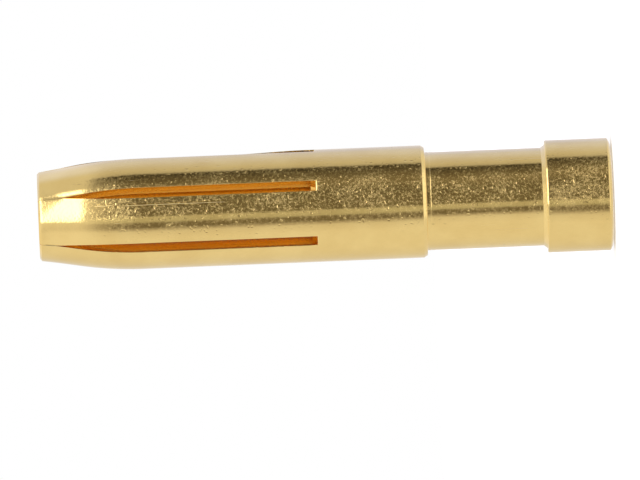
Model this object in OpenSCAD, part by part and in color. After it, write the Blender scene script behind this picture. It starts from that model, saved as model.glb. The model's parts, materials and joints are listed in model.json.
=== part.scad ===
// Crimp socket contact: one turned, gold plated brass piece.
// It stands on its wire end, with the contact's axis along +Z and the tines at the top.

/* [Mating pin] */
// Diameter of the pin that the tines grip
pin_d = 2.5; // [1.5:0.1:5]
// How much narrower the closed tines are than the pin
grip = 0.04; // [0.02:0.01:0.2]

/* [Tines] */
// Number of slots, and so of tines
slot_count = 6; // [4:1:8]
// Width of a slot where the tines are straight
slot_w = 0.45; // [0.2:0.05:0.8]
// Length of a slot on the outer surface, from the tip
slot_len = 11.6; // [7:0.1:18]
// Lean of the slot's end wall, in degrees from square to the axis
slot_lean = 21; // [0:1:40]
// Wall thickness of a straight tine
tine_wall = 0.7; // [0.4:0.05:1.2]
// Wall thickness of a tine at the tip
tip_wall = 0.6; // [0.4:0.05:1]
// Bevel on the outer edge of the tip
tip_bevel = 0.08; // [0.02:0.01:0.2]
// Bevel inside the tip, which leads the pin in
lead_in = 0.15; // [0.05:0.05:0.3]

/* [Pinched nose] */
// Length of the curve with which the tines bend towards each other
bend_len = 2.6; // [1:0.1:4]
// Length of the straight taper from there to the tip
taper_len = 1.7; // [1.2:0.1:4]
// Length at the tip over which the tines lie side by side
seam_len = 1; // [0.3:0.1:1.5]
// Length at the tip of the straight bore that grips the pin
land_len = 0.6; // [0.35:0.05:1.5]
// Gap that stays between two tines there
seam_gap = 0.03; // [0.02:0.01:0.1]

/* [Socket bore] */
// Depth of the flat-bottomed bore past the slots
bore_past = 0.4; // [0.1:0.1:2]

/* [Body] */
// Length of the solid body, from its rear shoulder to the slots
solid_len = 4.6; // [2.5:0.1:10]
// Length along the axis of the sloping rear shoulder
shoulder_run = 0.17; // [0.05:0.01:0.5]

/* [Crimp barrel] */
// Length from the wire end to the body's shoulder
barrel_len = 7.8; // [5:0.1:12]
// Depth of the barrel's neck below the body and the collar
neck_depth = 0.3; // [0.1:0.05:0.6]
// Length of the collar at the wire end
collar_len = 2.78; // [1:0.1:4]
// Bevel on the collar's front edge
collar_bevel = 0.05; // [0.02:0.01:0.09]
// Radius of the fillet at the collar's foot
collar_fillet = 0.25; // [0.05:0.05:0.5]
// Bevel round the wire end, along the axis
end_bevel_len = 0.1; // [0.05:0.01:0.5]
// Bevel round the wire end, across the axis
end_bevel_depth = 0.2; // [0.05:0.01:0.5]
// How far the end face falls back to that bevel
end_dome_len = 0.05; // [0.01:0.01:0.2]
// Width of the part of the end face that falls back
end_dome_depth = 0.5; // [0.1:0.05:0.6]

/* [Wire hole] */
// Diameter of the hole for the stripped wire
wire_hole_d = 2.25; // [1:0.05:2.9]
// Depth of the hole to the start of its drilled point
wire_hole_depth = 7.5; // [5:0.1:9]
// Point angle of the drill, in degrees
drill_angle = 118; // [90:1:140]
// Countersink at the mouth of the hole
wire_mouth = 0.25; // [0.1:0.05:0.5]

/* [Hidden] */
$fn = 96;

// Cutters run past the surface that they open by this much
over = 1;
// Straight steps that make up one curve of a profile
curve_steps = 12;

// The tines close by this much, each towards the axis, until two of them leave only the seam gap
half_pitch = 180 / slot_count;
pinch = (slot_w - seam_gap) / (2 * sin(half_pitch));

// Radii, from the pin outwards
grip_r = (pin_d - grip) / 2;
socket_r = grip_r + pinch;
body_r = socket_r + tine_wall;
tip_r = grip_r + tip_wall;
neck_r = body_r - neck_depth;
wire_r = wire_hole_d / 2;

// Heights above the wire end
slot_z = barrel_len + solid_len;
socket_z = slot_z - bore_past;
tip_z = slot_z + slot_len;
nose_len = bend_len + taper_len;
nose_z = tip_z - nose_len;
seam_z = tip_z - seam_len;
land_z = tip_z - land_len;

// The fillet takes at most the part of the collar's face that its bevel leaves
fillet_r = min(collar_fillet, neck_depth - collar_bevel);

// How far a line has moved inwards at height h of a bend: a curve first, then straight to shift at reach
function bend(h, shift, reach) =
    let (rate = shift / (bend_len * (2 * reach - bend_len)))
    h < bend_len ? rate * h * h : rate * bend_len * (2 * h - bend_len);

// Heights of the points along the curve of a bend, the first one offset steps up
function bend_heights(offset = 0) = [for (i = [0 : curve_steps]) bend_len * (i + offset) / curve_steps];

// Inward move of the outer skin, the bore and the slot walls at height h of the nose
function skin_move(h) = bend(h, body_r - tip_r, nose_len);
function bore_move(h) = bend(h, pinch, land_z - nose_z);
function wall_move(h) = bend(h, pinch, seam_z - nose_z) * sin(half_pitch);

// Points of an arc from one angle to another
function arc(centre, radius, from, to) = [
    for (i = [0 : curve_steps])
        let (a = from + (to - from) * i / curve_steps)
        centre + radius * [cos(a), sin(a)]
];

// Outline of the turned blank, pinched nose included, as radius and height
function blank_outline() = concat(
    [
        [0, 0],
        [body_r - end_bevel_depth - end_dome_depth, 0],
        [body_r - end_bevel_depth, end_dome_len],
        [body_r, end_dome_len + end_bevel_len],
        [body_r, collar_len - collar_bevel],
        [body_r - collar_bevel, collar_len]
    ],
    arc([neck_r + fillet_r, collar_len + fillet_r], fillet_r, 270, 180),
    [
        [neck_r, barrel_len],
        [body_r, barrel_len + shoulder_run]
    ],
    [for (h = bend_heights()) [body_r - skin_move(h), nose_z + h]],
    [
        [body_r - skin_move(nose_len - tip_bevel), tip_z - tip_bevel],
        [tip_r - tip_bevel, tip_z],
        [0, tip_z]
    ]
);

// Outline of the socket's hollow: flat bottom, straight bore, pinched bore and lead-in
function socket_outline() = concat(
    [
        [0, socket_z],
        [socket_r, socket_z]
    ],
    [for (h = bend_heights()) [socket_r - bore_move(h), nose_z + h]],
    [
        [grip_r, land_z],
        [grip_r, tip_z - lead_in],
        [grip_r + lead_in + over, tip_z + over],
        [0, tip_z + over]
    ]
);

// Outline of the wire hole: countersunk mouth, straight hole and drilled point
function wire_hole_outline() = [
    [0, -over],
    [wire_r + wire_mouth + over, -over],
    [wire_r, wire_mouth],
    [wire_r, wire_hole_depth],
    [0, wire_hole_depth + wire_r / tan(drill_angle / 2)]
];

// Edge of a slot seen from outside, on the side given by sign, as offset from its middle and height.
// Its points lie half a step above those of the skin and the bore, so that no two corners fall together.
function slot_edge(sign) = concat(
    [[sign * slot_w / 2, slot_z - over]],
    [for (h = bend_heights(0.5)) [sign * (slot_w / 2 - wall_move(h)), nose_z + h]],
    [
        [sign * seam_gap / 2, seam_z],
        [sign * seam_gap / 2, tip_z + over]
    ]
);

function reversed(list) = [for (i = [len(list) - 1 : -1 : 0]) list[i]];

// Slot seen from its side: the leaning end wall meets the outer surface at slot_z
module slot_side() {
    inside_r = grip_r / 2;
    outside_r = body_r + over;
    lean = tan(slot_lean);
    rotate([90, 0, 0])
        linear_extrude(height = 2 * slot_w, center = true)
            polygon([
                [inside_r, slot_z + (body_r - inside_r) * lean],
                [outside_r, slot_z + (body_r - outside_r) * lean],
                [outside_r, tip_z + over],
                [inside_r, tip_z + over]
            ]);
}

// Slot seen from outside: straight along the body, narrowing to a seam in the nose
module slot_front() {
    rotate([90, 0, 90])
        linear_extrude(height = body_r + 2 * over)
            polygon(concat(slot_edge(1), reversed(slot_edge(-1))));
}

module slot() {
    intersection() {
        slot_side();
        slot_front();
    }
}

// The whole contact: a turned blank with the socket bored, the wire hole drilled and the slots sawn
module socket_contact() {
    color("goldenrod")
        difference() {
            rotate_extrude() polygon(blank_outline());
            rotate_extrude() polygon(socket_outline());
            rotate_extrude() polygon(wire_hole_outline());
            for (i = [0 : slot_count - 1])
                rotate(i * 360 / slot_count) slot();
        }
}

socket_contact();
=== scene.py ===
"""Crimp socket contact: its surface in fine detail, its gold plating and the studio it is seen in.

Lengths are in millimetres until Blender gets them; the frame itself is in metres.
"""

import json
import math

import bmesh
import bpy
from mathutils import Matrix, Vector


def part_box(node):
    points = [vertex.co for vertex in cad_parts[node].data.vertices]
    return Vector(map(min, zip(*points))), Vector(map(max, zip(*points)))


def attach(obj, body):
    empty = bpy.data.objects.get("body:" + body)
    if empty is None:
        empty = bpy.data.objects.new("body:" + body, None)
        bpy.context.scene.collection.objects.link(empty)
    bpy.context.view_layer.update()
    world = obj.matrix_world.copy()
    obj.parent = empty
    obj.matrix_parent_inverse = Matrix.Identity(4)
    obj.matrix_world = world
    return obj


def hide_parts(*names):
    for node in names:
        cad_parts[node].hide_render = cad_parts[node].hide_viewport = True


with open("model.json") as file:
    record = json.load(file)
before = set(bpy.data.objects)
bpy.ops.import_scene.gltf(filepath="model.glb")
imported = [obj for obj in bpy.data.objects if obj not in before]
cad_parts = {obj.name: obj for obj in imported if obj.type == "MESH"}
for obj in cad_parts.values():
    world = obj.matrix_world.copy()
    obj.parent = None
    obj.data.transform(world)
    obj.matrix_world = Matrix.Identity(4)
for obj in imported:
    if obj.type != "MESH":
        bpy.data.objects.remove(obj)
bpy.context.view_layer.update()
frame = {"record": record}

MM = 0.001
MOUNTS = {mount["name"]: mount for mount in frame["record"]["mounts"]}

# Radii and length that the frame gives
BODY_R = MOUNTS["collar"]["dims"]["r_mm"]
GRIP_R = MOUNTS["pin_socket"]["dims"]["r_mm"]
WIRE_R = MOUNTS["wire_hole"]["dims"]["r_mm"]
TIP_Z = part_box("socket_contact")[1].z / MM

# Tines and slots
SLOTS = 6
SLOT_W = 0.45
SLOT_LEN = 11.6
SLOT_LEAN = math.tan(math.radians(16.5))
SEAM_GAP = 0.012
TINE_WALL = 0.7
TIP_WALL = 0.6
TIP_BEVEL = 0.08
LEAD_IN = 0.15

# Pinched nose; a tine's belly goes in at its middle and, by a share of it, out at its edges
BEND_LEN = 2.6
NOSE_LEN = 4.3
SEAM_LEN = 1.0
LAND_LEN = 0.6
BELLY = 0.048
BELLY_OUT = 1 / 3

# One slot closes nearer to the tip than the others
LATE_SLOT = 4
LATE_SEAM_LEN = 0.7

# The corners of a tine's tip turn out: from which share of its half width, how long at the seam, how steep,
# and over which length the slope comes in
FLARE_FROM = 0.16
FLARE_LEN = 1.15
FLARE_SLOPE = 0.0185
FLARE_SOFT = 0.12

# One tine has settled inwards: how far, and between which distances from the slots' ends this comes
# and goes
SETTLED_TINE = 0
SETTLE = 0.09
SETTLE_FROM = (0.4, 3.6)
SETTLE_TO = (7.5, 10.4)

# Bores
BORE_PAST = 0.4
DRILL_ANGLE = 118
WIRE_DEPTH = 7.5
WIRE_MOUTH = 0.25

# Body, neck and collar
BARREL_LEN = 7.805
SHOULDER_RUN = 0.01
SHOULDER_BEVEL_LEN = 0.14
SHOULDER_BEVEL_DEPTH = 0.09
NECK_DEPTH = 0.3
MARK_Z = 7.635
MARK_W = 0.04
MARK_DEPTH = 0.006
COLLAR_LEN = 2.78
COLLAR_FOOT_LEN = 0.165
COLLAR_FOOT_RISE = 0.129
COLLAR_BEVEL_LEN = 0.065
COLLAR_BEVEL_DEPTH = 0.013
END_BEVEL_LEN = 0.1
END_BEVEL_DEPTH = 0.2
END_DOME_LEN = 0.05
END_DOME_DEPTH = 0.5

# Roundings of the turned corners, and of the edges that the saw left
CORNER = 0.05
COLLAR_CORNER = 0.02
END_CORNER = 0.1
END_DOME_CORNER = 0.4
TIP_CORNER = 0.05
EDGE = 0.035
ROOT_EDGE = 0.07
INNER_EDGE = 0.015

# Fineness of the mesh: its columns, its steps round a corner and an edge, and its rows
TINE_COLS = 22
SLOT_COLS = 6
ROUND_STEPS = 8
EDGE_STEPS = 3
BOTTOM_ROWS = 3
STRAIGHT_ROWS = 20
CURVE_ROWS = 20
TAPER_ROWS = 6
SEAM_ROWS = 4
TIP_ROWS = 4

# Distance of the row that holds a rounding in place, of the tines' first row from the slots' ends, and the
# angle from which an edge is sharp
HOLD = 0.04
FIRST_ROW = 0.4
SHARP_ANGLE = math.radians(40)

PITCH = 2 * math.pi / SLOTS
PITCH_COLS = SLOT_COLS + TINE_COLS
DRILL_SLOPE = math.tan(math.radians(DRILL_ANGLE / 2))
SOCKET_R = BODY_R - TINE_WALL
HUB_R = SOCKET_R / 4
TIP_R = GRIP_R + TIP_WALL
NECK_R = BODY_R - NECK_DEPTH
SLOT_Z = TIP_Z - SLOT_LEN
SOCKET_Z = SLOT_Z - BORE_PAST
NOSE_Z = TIP_Z - NOSE_LEN
SEAM_Z = TIP_Z - SEAM_LEN
LATE_SEAM_Z = TIP_Z - LATE_SEAM_LEN
LAND_Z = TIP_Z - LAND_LEN


def bend(h, shift, reach):
    """Inward move at height h of the nose: a curve first, then straight, to shift at reach."""
    rate = shift / (BEND_LEN * (2 * reach - BEND_LEN))
    if h < 0:
        return 0.0
    return rate * h * h if h < BEND_LEN else rate * BEND_LEN * (2 * h - BEND_LEN)


def soft_step(value, start, end):
    t = max(0.0, min(1.0, (value - start) / (end - start)))
    return t * t * (3 - 2 * t)


def skin_r(z):
    """Radius of the skin at height z, before the tines' belly."""
    return BODY_R - bend(z - NOSE_Z, BODY_R - TIP_R, NOSE_LEN)


def flare(z, share):
    """How far a tip's corner turns out at height z, share being the part of the tine's half width."""
    reach = FLARE_LEN * (share - FLARE_FROM) / (1 - FLARE_FROM)
    within = max(0.0, reach - (TIP_Z - z))
    return FLARE_SLOPE * within**2 / (within + FLARE_SOFT)


def belly(z, turn):
    """What a bent tine's skin stands off the round at height z, turn being the angle from its middle.

    The tine keeps the curve of the body it was cut from, so it is too flat for the narrower nose.
    """
    flat = BELLY * bend(z - NOSE_Z, 1, NOSE_LEN)
    share = abs(turn) / (PITCH / 2)
    return flat * (share**2 - 1) + flat * BELLY_OUT + flare(z, share)


def settle(k, z):
    """How far tine k lies further in than the others at height z."""
    if k != SETTLED_TINE:
        return 0.0
    along = z - SLOT_Z
    return SETTLE * soft_step(along, *SETTLE_FROM) * (1 - soft_step(along, *SETTLE_TO))


def bore_r(z):
    """Radius of the bore at height z, which narrows to the land that grips the pin."""
    return SOCKET_R - bend(min(z, LAND_Z) - NOSE_Z, SOCKET_R - GRIP_R, LAND_Z - NOSE_Z)


def half_gap(k, z):
    """Half the width of slot k at height z."""
    seam_z = LATE_SEAM_Z if k == LATE_SLOT else SEAM_Z
    return SLOT_W / 2 - bend(min(z, seam_z) - NOSE_Z, (SLOT_W - SEAM_GAP) / 2, seam_z - NOSE_Z)


def edge_size(k, z, inner):
    """Rounding of the edges at slot k, which saw and tumbling left; small where the tines meet."""
    return (INNER_EDGE if inner else EDGE) * half_gap(k, z) / (SLOT_W / 2)


def spread(start, end, steps):
    """Evenly spaced values from start to end."""
    return [start + (end - start) * i / steps for i in range(steps + 1)]


def quarter(start, corner, end, t):
    """Point of the curve that rounds a corner."""
    return start * (1 - t) ** 2 + corner * 2 * t * (1 - t) + end * t**2


def rounded(corners):
    """Points along straight lines from corner to corner (r, z, rounding), each corner rounded."""
    points = [Vector((r, z)) for r, z, _ in corners]
    line = [points[0]]
    for i in range(1, len(points) - 1):
        back, ahead = points[i - 1] - points[i], points[i + 1] - points[i]
        if corners[i][2] == 0:
            line.append(points[i])
            continue
        reach = corners[i][2] / math.tan(back.angle(ahead) / 2)
        start, end = points[i] + back.normalized() * reach, points[i] + ahead.normalized() * reach
        if (start - line[-1]).length > 3 * HOLD:
            line.append(line[-1] + (start - line[-1]).normalized() * HOLD)
            line.append(start + back.normalized() * HOLD)
        line += [quarter(start, points[i], end, t) for t in spread(0, 1, ROUND_STEPS)]
    if (points[-1] - line[-1]).length > 3 * HOLD:
        line.append(line[-1] + (points[-1] - line[-1]).normalized() * HOLD)
    return line + [points[-1]]


# Heights of the rows along the tines, past the first row at the slots' ends
STRAIGHT = spread(SLOT_Z + FIRST_ROW, NOSE_Z, STRAIGHT_ROWS)
CURVE = spread(NOSE_Z, NOSE_Z + BEND_LEN, CURVE_ROWS)[1:]
TAPER = spread(NOSE_Z + BEND_LEN, SEAM_Z, TAPER_ROWS)[1:] + spread(SEAM_Z, LAND_Z, SEAM_ROWS)[1:]
OUTER_HEIGHTS = STRAIGHT + CURVE + TAPER + spread(LAND_Z, TIP_Z - LEAD_IN - CORNER, TIP_ROWS)[1:]
INNER_HEIGHTS = STRAIGHT + CURVE + TAPER + spread(LAND_Z, TIP_Z - 2 * LEAD_IN, TIP_ROWS)[1:]

# Finishes of the faces: the plated outside, and the bored and sawn inside
PLATE, BORE = 0, 1


class Skin:
    """The contact's one closed surface, as rows of points and the faces between them."""

    def __init__(self):
        self.points = []
        self.faces = []
        self.finishes = []
        self.finish = PLATE

    def add(self, angle, x, y, z):
        """A point at x outwards, y across and z up, seen from the direction of that angle."""
        c, s = math.cos(angle), math.sin(angle)
        self.points.append((x * c - y * s, x * s + y * c, z))
        return len(self.points) - 1

    def add_between(self, a, b, share):
        """A point on the line from point a to point b."""
        self.points.append(tuple(Vector(self.points[a]).lerp(Vector(self.points[b]), share)))
        return len(self.points) - 1

    def move_in(self, row, angle, distance):
        """Moves a row's points inwards, against the direction of that angle."""
        for p in row:
            x, y, z = self.points[p]
            self.points[p] = (x - distance * math.cos(angle), y - distance * math.sin(angle), z)

    def face(self, corners):
        self.faces.append(corners)
        self.finishes.append(self.finish)

    def ring(self, angles, r, z):
        return [self.add(a, r, 0, z) for a in angles]

    def strip(self, row, other, closed=False):
        """Faces between two rows; where they share an end the face there is a triangle."""
        for i in range(len(row) if closed else len(row) - 1):
            j = (i + 1) % len(row)
            face = []
            for p in (row[i], row[j], other[j], other[i]):
                if p not in face:
                    face.append(p)
            self.face(face)

    def sheet(self, rows, closed=False):
        for row, other in zip(rows, rows[1:]):
            self.strip(row, other, closed)

    def fan(self, row, apex):
        for i in range(len(row)):
            self.face([row[i], row[(i + 1) % len(row)], apex])


def ring_angles(r, reach):
    """Angles of the columns all round: those across a slot, out to reach on each side, then the tine's."""
    side = math.asin(reach / r)
    crossing = [math.asin(reach * u / r) for u in spread(-1, 1, SLOT_COLS)]
    tine = spread(side, PITCH - side, TINE_COLS)[1:-1]
    return [k * PITCH + a for k in range(SLOTS) for a in crossing + tine]


def turned_rows(skin):
    """Rows of the turned surface, from the bottom of the wire hole round the wire end to the slots."""
    angles = ring_angles(BODY_R, SLOT_W / 2 + EDGE)
    line = rounded(
        [
            (0, WIRE_DEPTH + WIRE_R / DRILL_SLOPE, 0),
            (WIRE_R, WIRE_DEPTH, CORNER),
            (WIRE_R, WIRE_MOUTH, CORNER),
            (WIRE_R + WIRE_MOUTH, 0, CORNER),
            (BODY_R - END_BEVEL_DEPTH - END_DOME_DEPTH, 0, END_DOME_CORNER),
            (BODY_R - END_BEVEL_DEPTH, END_DOME_LEN, END_DOME_CORNER),
            (BODY_R, END_DOME_LEN + END_BEVEL_LEN, END_CORNER),
            (BODY_R, COLLAR_LEN - COLLAR_BEVEL_LEN, COLLAR_CORNER),
            (BODY_R - COLLAR_BEVEL_DEPTH, COLLAR_LEN, COLLAR_CORNER),
            (NECK_R + COLLAR_FOOT_RISE, COLLAR_LEN, COLLAR_CORNER / 2),
            (NECK_R, COLLAR_LEN + COLLAR_FOOT_LEN, COLLAR_CORNER / 2),
            (NECK_R, MARK_Z - MARK_W, MARK_W),
            (NECK_R - MARK_DEPTH, MARK_Z, MARK_W),
            (NECK_R, MARK_Z + MARK_W, MARK_W),
            (NECK_R, BARREL_LEN, CORNER / 2),
            (BODY_R - SHOULDER_BEVEL_DEPTH, BARREL_LEN + SHOULDER_RUN, CORNER / 2),
            (BODY_R, BARREL_LEN + SHOULDER_RUN + SHOULDER_BEVEL_LEN, CORNER),
            (BODY_R, SLOT_Z - ROOT_EDGE - HOLD, 0),
            (BODY_R, SLOT_Z - ROOT_EDGE, 0),
        ]
    )
    apex = skin.add(0, 0, 0, line[0].y)
    rows = [skin.ring(angles, p.x, p.y) for p in line[1:]]
    skin.finish = BORE
    skin.fan(rows[0], apex)
    for row, other, p in zip(rows, rows[1:], line[1:]):
        if p.x > WIRE_R:
            skin.finish = PLATE
        skin.strip(row, other, closed=True)
    return rows


def bore_top(y):
    """Height at which a slot's leaning end wall meets the bore, y from the slot's middle."""
    return SLOT_Z + (BODY_R - math.sqrt(SOCKET_R**2 - y**2)) * SLOT_LEAN


def bored_rows(skin):
    """Rows of the socket's bore, from where the slots begin down to its flat bottom."""
    angles = ring_angles(SOCKET_R, SLOT_W / 2 + INNER_EDGE)
    ys = [SOCKET_R * math.sin((a + PITCH / 2) % PITCH - PITCH / 2) for a in angles]
    tops = [bore_top(max(-SLOT_W / 2, min(SLOT_W / 2, y))) - INNER_EDGE for y in ys]
    rows = [[skin.add(a, SOCKET_R, 0, z) for a, z in zip(angles, tops)]]
    rows += [skin.ring(angles, r, SOCKET_Z) for r in spread(SOCKET_R, HUB_R, BOTTOM_ROWS)]
    skin.sheet(rows, closed=True)
    skin.fan(rows[-1], skin.add(0, 0, 0, SOCKET_Z))
    return rows


def edge_curve(skin, angle, inner, start, corner, end):
    """Points that round an edge of the skin or, if inner, of the bore; the first is left out.

    Start, corner and end are given as (y across, z up, depth into the wall).
    """
    row = []
    for t in spread(0, 1, EDGE_STEPS)[1:]:
        y, z, depth = quarter(Vector(start), Vector(corner), Vector(end), t)
        if inner:
            x = math.sqrt(bore_r(z) ** 2 - y**2) + depth
        else:
            x = math.sqrt((skin_r(z) + belly(z, PITCH / 2)) ** 2 - y**2) - depth
        row.append(skin.add(angle, x, y, z))
    return row


def slot_roots(skin, ring, inner):
    """Rounded edges at the slots' ends: for each slot its columns, each from the ring into the wall."""
    roots = []
    for k in range(SLOTS):
        columns = []
        for i, u in enumerate(spread(-1, 1, SLOT_COLS)):
            y = u * SLOT_W / 2
            if inner:
                e, top = INNER_EDGE, bore_top(y)
                start_z, end_z = top - e, top - e * SLOT_LEAN
            else:
                e, top = EDGE, SLOT_Z
                start_z, end_z = top - ROOT_EDGE, top + e * SLOT_LEAN
            start = (u * (SLOT_W / 2 + e), start_z, 0)
            curve = edge_curve(skin, k * PITCH, inner, start, (y, top, 0), (y, end_z, e))
            columns.append([ring[k * PITCH_COLS + i]] + curve)
        skin.sheet(columns)
        roots.append(columns)
    return roots


def tine_row(skin, k, z, inner):
    """One row of points across tine k at height z, from wall to wall, both edges rounded."""
    r = bore_r(z) if inner else skin_r(z)
    edges, sides = [], []
    for slot, way in ((k, 1), ((k + 1) % SLOTS, -1)):
        gap = half_gap(slot, z)
        e = edge_size(slot, z, inner)
        start, wall = way * (gap + e), way * gap
        edges.append(edge_curve(skin, slot * PITCH, inner, (start, z, 0), (wall, z, 0), (wall, z, e)))
        sides.append(math.asin((gap + e) / r))
    middle = []
    for a in spread(sides[0], PITCH - sides[1], TINE_COLS):
        off = 0 if inner else belly(z, a - PITCH / 2)
        middle.append(skin.add(k * PITCH + a, r + off, 0, z))
    return edges[0][::-1] + middle + edges[1]


def tine_rows(skin, ring, roots, heights, inner):
    """For each tine its rows, the first of which joins the full round."""
    tines = []
    for k in range(SLOTS):
        left, right = roots[k][-1], roots[(k + 1) % SLOTS][0]
        base = [ring[(k * PITCH_COLS + SLOT_COLS + i) % len(ring)] for i in range(TINE_COLS + 1)]
        rows = [left[:0:-1] + base + right[1:]]
        for z in heights:
            rows.append(tine_row(skin, k, z, inner))
            skin.move_in(rows[-1], (k + 0.5) * PITCH, settle(k, z))
        skin.sheet(rows)
        tines.append(rows)
    return tines


def tip_caps(skin, outer, inner):
    """Rounded front ends of the tines, from the skin over the tip to the bore: for each tine its rows."""
    line = rounded(
        [
            (skin_r(OUTER_HEIGHTS[-1]), OUTER_HEIGHTS[-1], 0),
            (skin_r(TIP_Z - TIP_BEVEL), TIP_Z - TIP_BEVEL, TIP_CORNER),
            (TIP_R - TIP_BEVEL, TIP_Z, TIP_CORNER),
            (GRIP_R + LEAD_IN, TIP_Z, TIP_CORNER),
            (GRIP_R, TIP_Z - LEAD_IN, TIP_CORNER),
            (GRIP_R, INNER_HEIGHTS[-1], 0),
        ]
    )
    gap = SEAM_GAP / 2
    e_out, e_in = edge_size(0, TIP_Z, inner=False), edge_size(0, TIP_Z, inner=True)
    inside, outside = GRIP_R + LEAD_IN, TIP_R - TIP_BEVEL
    caps = []
    for k in range(SLOTS):
        rows = [outer[k][-1]]
        for i, p in enumerate(line[1:-1], 1):
            share = i / (len(line) - 1)
            flat = max(0.0, min(1.0, (p.x - inside) / (outside - inside)))
            e = e_out + (e_in - e_out) * share
            side = math.asin((gap + e) / p.x)
            left, right = [], []
            for t in spread(0, 1, EDGE_STEPS)[1:]:
                y = quarter(gap + e, gap, gap, t)
                depth = quarter(0, 0, 1, t) * (e_in * share - e_out * (1 - share))
                x = math.sqrt(p.x**2 - y**2) + depth + belly(p.y, PITCH / 2) * flat
                left.append(skin.add(k * PITCH, x, y, p.y))
                right.append(skin.add((k + 1) * PITCH, x, -y, p.y))
            middle = []
            for a in spread(side, PITCH - side, TINE_COLS):
                off = belly(p.y, a - PITCH / 2) * flat
                middle.append(skin.add(k * PITCH + a, p.x + off, 0, p.y))
            rows.append(left[::-1] + middle + right)
        rows.append(inner[k][-1])
        skin.sheet(rows)
        caps.append(rows)
    return caps


def slot_rim(k, tines, roots):
    """Rim of slot k, on the skin or in the bore: down one tine, across the slot's end and up the next."""
    down = [row[-1] for row in tines[(k - 1) % SLOTS][:0:-1]]
    across = [column[-1] for column in roots[k]]
    up = [row[0] for row in tines[k][1:]]
    return down + across + up


def slot_walls(skin, outer, inner, outer_roots, inner_roots, caps):
    """Flat walls of each slot, from its rim on the skin to its rim in the bore."""
    steps = len(caps[0]) - 1
    for k in range(SLOTS):
        start, end = slot_rim(k, outer, outer_roots), slot_rim(k, inner, inner_roots)
        rows = [start]
        for i in range(1, steps):
            rows.append([skin.add_between(a, b, i / steps) for a, b in zip(start, end)])
        rows.append(end)
        skin.sheet(rows)
        skin.strip([row[0] for row in rows], [row[-1] for row in caps[(k - 1) % SLOTS]])
        skin.strip([row[-1] for row in rows], [row[0] for row in caps[k]])


def contact_mesh():
    skin = Skin()
    turned = turned_rows(skin)
    outer_roots = slot_roots(skin, turned[-1], inner=False)
    outer = tine_rows(skin, turned[-1], outer_roots, OUTER_HEIGHTS, inner=False)
    skin.finish = BORE
    bored = bored_rows(skin)
    inner_roots = slot_roots(skin, bored[0], inner=True)
    inner = tine_rows(skin, bored[0], inner_roots, INNER_HEIGHTS, inner=True)
    skin.finish = PLATE
    caps = tip_caps(skin, outer, inner)
    skin.finish = BORE
    slot_walls(skin, outer, inner, outer_roots, inner_roots, caps)

    mesh = bpy.data.meshes.new("contact_skin")
    mesh.from_pydata([Vector(p) * MM for p in skin.points], [], skin.faces)
    mesh.polygons.foreach_set("material_index", skin.finishes)
    form = bmesh.new()
    form.from_mesh(mesh)
    bmesh.ops.recalc_face_normals(form, faces=form.faces)
    form.to_mesh(mesh)
    form.free()
    mesh.shade_smooth()
    mesh.set_sharp_from_angle(angle=SHARP_ANGLE)
    return mesh


def link(tree, *pairs):
    for a, b in pairs:
        tree.links.new(a, b)


def add_node(tree, kind, **settings):
    """A node of that kind; settings are its properties, or its inputs where the name is one of theirs."""
    made = tree.nodes.new(kind)
    for name, value in settings.items():
        if hasattr(made, name):
            setattr(made, name, value)
        else:
            made.inputs[name.replace("_", " ")].default_value = value
    return made


def maths(tree, operation, *values, **settings):
    """Result of an operation on values, which are numbers or other nodes' outputs."""
    node = add_node(tree, "ShaderNodeMath", operation=operation, **settings)
    for socket, value in zip(node.inputs, values):
        if isinstance(value, (int, float)):
            socket.default_value = value
        else:
            link(tree, (value, socket))
    return node.outputs["Value"]


def remap(tree, value, start, end, low=0.0, high=1.0, **settings):
    """A value as it goes from low to high while the one given goes from start to end."""
    node = add_node(
        tree, "ShaderNodeMapRange", From_Min=start, From_Max=end, To_Min=low, To_Max=high, **settings
    )
    link(tree, (value, node.inputs["Value"]))
    return node.outputs["Result"]


def ramp(tree, value, stops):
    """Colour for a value from 0 to 1, each stop being (value, colour)."""
    node = add_node(tree, "ShaderNodeValToRGB")
    elements = node.color_ramp.elements
    while len(elements) < len(stops):
        elements.new(0.5)
    for element, (position, colour) in zip(elements, stops):
        element.position = position
        element.color = colour
    link(tree, (value, node.inputs["Fac"]))
    return node.outputs["Color"]


def noise(tree, place, per_mm, detail, **settings):
    node = add_node(tree, "ShaderNodeTexNoise", Scale=per_mm / MM, Detail=detail, **settings)
    link(tree, (place, node.inputs["Vector"]))
    return node.outputs["Fac"]


def drawn_out(tree, place, along):
    """Places that draw a noise out along the axis, where it then has that share of its periods."""
    node = add_node(tree, "ShaderNodeMapping", Scale=(1, 1, along))
    link(tree, (place, node.inputs["Vector"]))
    return node.outputs["Vector"]


def rgba(tone, level=1.0):
    return (*[level * c for c in tone], 1)


def gold(name):
    """A new metal: its material, its node tree and its shader."""
    material = bpy.data.materials.new(name)
    material.use_nodes = True
    tree = material.node_tree
    shader = tree.nodes["Principled BSDF"]
    shader.inputs["Metallic"].default_value = 1.0
    return material, tree, shader


# Two tones of gold for the plating and for the inside, and where in the noise each is reached
PLATE_TONES = ((0.74, 0.53, 0.2), (0.79, 0.58, 0.23))
BORE_TONES = ((0.78, 0.57, 0.22), (0.8, 0.59, 0.23))
TONE_STOPS = (0.35, 0.65)

# Noise: its periods per millimetre and, where it is drawn out, which share of them it has along the axis
GRAIN_PER_MM = 10
PITS_PER_MM = 8
CLOUD_PER_MM = 0.7
SCRATCHES_PER_MM = 14
SCRATCHES_ALONG = 0.012
STREAKS_PER_MM = 9
STREAKS_ALONG = 0.02

# The noise's middle range, and the peaks in it that are pits and scratches
MIDDLE_RANGE = (0.3, 0.7)
PIT_PEAKS = (0.7, 0.85)
SCRATCH_PEAKS = (0.8, 0.86)

# Depths of the grain and the pits
GRAIN_DEPTH = 0.0014
PIT_DEPTH = 0.006

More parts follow.
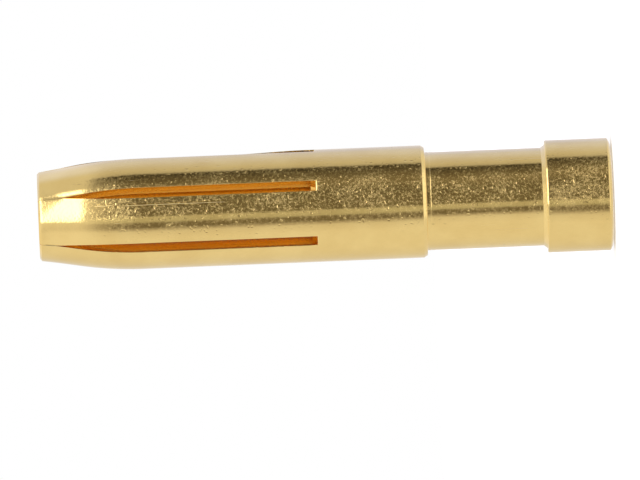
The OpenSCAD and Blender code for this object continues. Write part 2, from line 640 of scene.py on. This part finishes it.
# How rough the surface is where it is least and most rubbed, and how much more along the axis than round it
PLATE_ROUGH = (0.055, 0.26)
BORE_ROUGH = (0.1, 0.14)
AXIAL_SCATTER = 0.9
QUARTER_TURN = 0.25

# How far the patches raise or lower the rubbing and the collar raises it, how much there is in a scratch,
# and what the smooth tips take off it
PATCHES = 0.08
COLLAR_RUB = 0.06
SCRATCH_RUB = 1.5
TIP_CARE = 0.4

# Heights over which the collar's part comes in, and distances from the tip over which the smooth tips' does
COLLAR_FADE = (3, 2.6)
TIP_FADE = (2.8, 1.7)


def gold_plate():
    """Satin gold over turned and tumbled brass."""
    material, tree, shader = gold("gold_plate")
    place = add_node(tree, "ShaderNodeTexCoord").outputs["Object"]
    parts = add_node(tree, "ShaderNodeSeparateXYZ")
    link(tree, (place, parts.inputs["Vector"]))
    height = parts.outputs["Z"]

    # The pinched tips are smoother than the rest
    tips = remap(tree, height, *[(TIP_Z - d) * MM for d in TIP_FADE], high=TIP_CARE)

    # Tumbled grain: soft dimples of a tenth of a millimetre and less
    grain = noise(tree, place, GRAIN_PER_MM, detail=2, Roughness=0.6)
    ripple = add_node(tree, "ShaderNodeBump", Strength=1.0, Distance=GRAIN_DEPTH * MM)

    # Here and there a stone left a pit that sparkles
    hits = noise(tree, place, PITS_PER_MM, detail=0)
    pits = remap(tree, maths(tree, "SUBTRACT", hits, tips), *PIT_PEAKS)
    dented = add_node(tree, "ShaderNodeBump", Strength=1.0, Distance=PIT_DEPTH * MM, invert=True)
    link(
        tree,
        (grain, ripple.inputs["Height"]),
        (pits, dented.inputs["Height"]),
        (ripple.outputs["Normal"], dented.inputs["Normal"]),
        (dented.outputs["Normal"], shader.inputs["Normal"]),
    )

    # The tool went round the bar, so the surface scatters light along the axis
    shader.inputs["Anisotropic"].default_value = AXIAL_SCATTER
    shader.inputs["Anisotropic Rotation"].default_value = QUARTER_TURN
    round_axis = add_node(tree, "ShaderNodeTangent", direction_type="RADIAL", axis="Z")
    link(tree, (round_axis.outputs["Tangent"], shader.inputs["Tangent"]))

    # Plating that is a little deeper in some places than in others
    cloud = noise(tree, place, CLOUD_PER_MM, detail=4)
    tone = ramp(tree, cloud, list(zip(TONE_STOPS, map(rgba, PLATE_TONES))))
    link(tree, (tone, shader.inputs["Base Color"]))

    # A few long scratches run along the contact
    lines = noise(tree, drawn_out(tree, place, SCRATCHES_ALONG), SCRATCHES_PER_MM, detail=0)
    scratched = remap(tree, lines, *SCRATCH_PEAKS, high=SCRATCH_RUB)

    # Rubbed spots scatter the light; they lie in patches, most on the collar
    patches = remap(tree, cloud, *MIDDLE_RANGE, -PATCHES, PATCHES)
    collar = remap(tree, height, *[z * MM for z in COLLAR_FADE], high=COLLAR_RUB)
    uneven = maths(tree, "ADD", maths(tree, "ADD", grain, patches), collar)
    rubbed = remap(tree, maths(tree, "SUBTRACT", uneven, tips), *MIDDLE_RANGE)
    worn = maths(tree, "MAXIMUM", rubbed, scratched)
    rough = remap(tree, worn, 0, 1, *PLATE_ROUGH, clamp=False)
    link(tree, (rough, shader.inputs["Roughness"]))
    return material


def gold_bore():
    """The same gold inside the socket and the slots, where the tools left it and no stone rubbed it."""
    material, tree, shader = gold("gold_bore")
    place = add_node(tree, "ShaderNodeTexCoord").outputs["Object"]

    # Streaks along the axis that the saw and the drill left
    streaks = noise(tree, drawn_out(tree, place, STREAKS_ALONG), STREAKS_PER_MM, detail=2)
    tone = ramp(tree, streaks, list(zip(TONE_STOPS, map(rgba, BORE_TONES))))
    rough = remap(tree, streaks, *MIDDLE_RANGE, *BORE_ROUGH)
    link(tree, (tone, shader.inputs["Base Color"]), (rough, shader.inputs["Roughness"]))
    return material


# The photograph's view: the contact lies across the picture with its tip to the left
VIEW_AZIMUTH = math.radians(8.8)
VIEW_ELEVATION = math.radians(0.65)
VIEW_TILT = math.radians(2.32)
VIEW_DISTANCE = 650
PIXELS_PER_MM = 23.93
PICTURE_W, PICTURE_H = 640, 480
MIDDLE_AT = (325.5, 205.4)
SENSOR_W = 36
CLIP_NEAR, CLIP_FAR = 10, 10000


def add_camera():
    a, e = VIEW_AZIMUTH, VIEW_ELEVATION
    back = Vector((math.sin(a) * math.cos(e), -math.cos(a) * math.cos(e), math.sin(e)))
    along = Vector((0, 0, -1))
    along = (along - back * along.dot(back)).normalized()
    across = back.cross(along)
    right = along * math.cos(VIEW_TILT) - across * math.sin(VIEW_TILT)
    up = along * math.sin(VIEW_TILT) + across * math.cos(VIEW_TILT)

    data = bpy.data.cameras.new("camera")
    data.sensor_width = SENSOR_W
    data.lens = SENSOR_W * VIEW_DISTANCE * PIXELS_PER_MM / PICTURE_W
    data.clip_start, data.clip_end = CLIP_NEAR * MM, CLIP_FAR * MM
    camera = bpy.data.objects.new("camera", data)
    bpy.context.scene.collection.objects.link(camera)
    middle = Vector((0, 0, TIP_Z / 2))
    shift_right = (MIDDLE_AT[0] - PICTURE_W / 2) / PIXELS_PER_MM
    shift_up = (PICTURE_H / 2 - MIDDLE_AT[1]) / PIXELS_PER_MM
    place = (middle + back * VIEW_DISTANCE - right * shift_right - up * shift_up) * MM
    turn = Matrix((right, up, back)).transposed()
    camera.matrix_world = Matrix.Translation(place) @ turn.to_4x4()
    bpy.context.scene.camera = camera


# Tones of the studio's walls
WHITE = (1.0, 1.0, 1.0)
SKY = (0.86, 0.93, 1.3)
DARK = (0.15, 0.134, 0.111)
DIM = (1.0, 1.0, 0.86)

# Light round the contact: degrees from the camera's direction, counted towards the top of the picture,
# then tone and level
STUDIO = [
    (-180, WHITE, 0.82),
    (-150, WHITE, 0.87),
    (-100, WHITE, 1.0),
    (-56, WHITE, 1.0),
    (-40, WHITE, 0.87),
    (-30.5, DARK, 1.45),
    (-22, DARK, 1.45),
    (-19, DIM, 0.58),
    (-10, DIM, 0.58),
    (-7, DARK, 1.2),
    (8, DARK, 1.05),
    (28, DARK, 0.9),
    (50, DARK, 1.45),
    (68, DARK, 0.85),
    (84, DARK, 0.4),
    (88.5, WHITE, 0.62),
    (97, WHITE, 0.72),
    (125, SKY, 0.96),
    (150, SKY, 0.9),
    (180, WHITE, 0.82),
]

# The walls' upper edge fades over these elevations; they are lowest at this angle and rise to both sides
WALL_EDGE = (3, 24)
WALL_MIDDLE = 20
WALL_SLOPE = 0.05

# Light overhead and underneath, and the elevations over which the lower one comes in
DOME_LEVEL = 1.12
UNDER_LEVEL = 1.0
UNDER_EDGE = (-12, -35)

# Cards and lamps above and below the camera: steps of elevation, which the lean shifts with the angle round
# the contact, steps of that angle, tone and level
LAMPS = [
    {
        "heights": [(19.5, 23)],
        "lean": 0.11,
        "sides": [(52, 62), (120, 95)],
        "tone": WHITE,
        "level": 0.86,
    },
    {
        "heights": [(17.5, 22.5)],
        "lean": 0.11,
        "sides": [(95, 120), (170, 155)],
        "tone": SKY,
        "level": 1.12,
    },
    {
        "heights": [(19.5, 20.3), (42, 34)],
        "lean": 0.06,
        "sides": [(-18, -14), (67, 58)],
        "tone": WHITE,
        "level": 4.2,
    },
    {
        "heights": [(-44, -52), (-79, -72)],
        "lean": 0.0,
        "sides": [(-62, -40), (112, 88)],
        "tone": WHITE,
        "level": 1.5,
    },
]

# Light in the slots' depth, and the bounces over which it comes in
DEEP_LEVEL = 1.7
DEEP_BOUNCES = (1, 3)

# Degrees to both sides of the camera's direction over which the metal comes to show the backdrop
BACKDROP_EDGE = (160, 179)


def step(tree, angle, start, end):
    """Soft step of an angle: 0 at start and 1 at end, both in degrees."""
    return remap(tree, angle, math.radians(start), math.radians(end), interpolation_type="SMOOTHSTEP")


def blend(tree, share, below, colour):
    """A plain colour over what lies below, as far as the share says."""
    node = add_node(tree, "ShaderNodeMix", data_type="RGBA")
    node.inputs["B"].default_value = colour
    link(tree, (share, node.inputs["Factor"]), (below, node.inputs["A"]))
    return node.outputs["Result"]


def wall_light(tree, angle, height):
    """Light of the walls; overhead and underneath it is bright all round."""
    stops = [((degrees + 180) / 360, rgba(tone, level)) for degrees, tone, level in STUDIO]
    walls = ramp(tree, remap(tree, angle, -math.pi, math.pi), stops)
    aside = maths(tree, "ABSOLUTE", maths(tree, "SUBTRACT", angle, math.radians(WALL_MIDDLE)))
    above = maths(tree, "MULTIPLY_ADD", aside, -WALL_SLOPE, height)
    dome = blend(tree, step(tree, above, *WALL_EDGE), walls, rgba(WHITE, DOME_LEVEL))
    return blend(tree, step(tree, height, *UNDER_EDGE), dome, rgba(WHITE, UNDER_LEVEL))


def lamp_light(tree, angle, height, below, lamp):
    """A card or lamp over the light that lies below it."""
    leaning = maths(tree, "MULTIPLY_ADD", angle, lamp["lean"], height)
    edges = [step(tree, leaning, *edge) for edge in lamp["heights"]]
    edges += [step(tree, angle, *edge) for edge in lamp["sides"]]
    inside = edges[0]
    for edge in edges[1:]:
        inside = maths(tree, "MULTIPLY", inside, edge)
    return blend(tree, inside, below, rgba(lamp["tone"], lamp["level"]))


def add_world():
    world = bpy.data.worlds.new("studio")
    bpy.context.scene.world = world
    world.use_nodes = True
    tree = world.node_tree
    tree.nodes.clear()

    # A direction's angle round the contact, counted from the camera's, and its elevation
    direction = add_node(tree, "ShaderNodeTexCoord")
    turned = add_node(tree, "ShaderNodeMapping", vector_type="VECTOR")
    turned.inputs["Rotation"].default_value = (0, 0, math.pi / 2 - VIEW_AZIMUTH)
    parts = add_node(tree, "ShaderNodeSeparateXYZ")
    link(
        tree,
        (direction.outputs["Generated"], turned.inputs["Vector"]),
        (turned.outputs["Vector"], parts.inputs["Vector"]),
    )
    angle = maths(tree, "ARCTAN2", parts.outputs["Y"], parts.outputs["X"])
    height = maths(tree, "ARCSINE", parts.outputs["Z"])

    colour = wall_light(tree, angle, height)
    for lamp in LAMPS:
        colour = lamp_light(tree, angle, height, colour, lamp)

    # Light that reaches a slot's depth comes from all over the white room
    rays = add_node(tree, "ShaderNodeLightPath").outputs
    deep = remap(tree, rays["Glossy Depth"], *DEEP_BOUNCES)
    colour = blend(tree, deep, colour, rgba(WHITE, DEEP_LEVEL))

    # The white backdrop: the camera sees it all round, and the metal where it stands behind the contact
    behind = step(tree, maths(tree, "ABSOLUTE", angle), *BACKDROP_EDGE)
    mirrored = maths(tree, "MULTIPLY", rays["Is Glossy Ray"], behind)
    seen = maths(tree, "ADD", rays["Is Camera Ray"], rays["Is Transmission Ray"])
    backdrop = maths(tree, "ADD", seen, mirrored, use_clamp=True)
    colour = blend(tree, backdrop, colour, rgba(WHITE))

    light = add_node(tree, "ShaderNodeBackground", Strength=1.0)
    output = add_node(tree, "ShaderNodeOutputWorld")
    link(tree, (colour, light.inputs["Color"]), (light.outputs["Background"], output.inputs["Surface"]))


# The floor: a white disc just below the contact, which can be seen through from underneath
FLOOR_R = 400
FLOOR_SIDES = 64
FLOOR_DROP = 0.02
FLOOR_TONE = 0.8
FLOOR_GLOW = 0.25


def add_floor():
    mesh = bpy.data.meshes.new("floor")
    form = bmesh.new()
    bmesh.ops.create_circle(form, cap_ends=True, segments=FLOOR_SIDES, radius=FLOOR_R * MM)
    form.to_mesh(mesh)
    form.free()
    floor = bpy.data.objects.new("floor", mesh)
    floor.location.z = -FLOOR_DROP * MM
    floor.visible_glossy = False
    bpy.context.scene.collection.objects.link(floor)

    material = bpy.data.materials.new("floor_white")
    material.use_nodes = True
    tree = material.node_tree
    tree.nodes.clear()
    paper = add_node(tree, "ShaderNodeBsdfDiffuse", Color=rgba(WHITE, FLOOR_TONE))
    glow = add_node(tree, "ShaderNodeEmission", Strength=FLOOR_GLOW)
    both = add_node(tree, "ShaderNodeAddShader")
    clear = add_node(tree, "ShaderNodeBsdfTransparent")
    side = add_node(tree, "ShaderNodeNewGeometry")
    face = add_node(tree, "ShaderNodeMixShader")
    output = add_node(tree, "ShaderNodeOutputMaterial")
    link(
        tree,
        (paper.outputs["BSDF"], both.inputs[0]),
        (glow.outputs["Emission"], both.inputs[1]),
        (side.outputs["Backfacing"], face.inputs["Fac"]),
        (both.outputs["Shader"], face.inputs[1]),
        (clear.outputs["BSDF"], face.inputs[2]),
        (face.outputs["Shader"], output.inputs["Surface"]),
    )
    mesh.materials.append(material)


# Light comes out of the slots after many bounces from gold to gold
GLOSSY_BOUNCES = 12

contact = bpy.data.objects.new("contact_body", contact_mesh())
bpy.context.scene.collection.objects.link(contact)
for finish in (gold_plate(), gold_bore()):
    contact.data.materials.append(finish)
contact.modifiers.new("even_normals", "WEIGHTED_NORMAL").keep_sharp = True
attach(contact, "root")
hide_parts("socket_contact")

add_camera()
add_world()
add_floor()

bpy.context.scene.view_settings.view_transform = "Standard"
bpy.context.scene.cycles.glossy_bounces = GLOSSY_BOUNCES
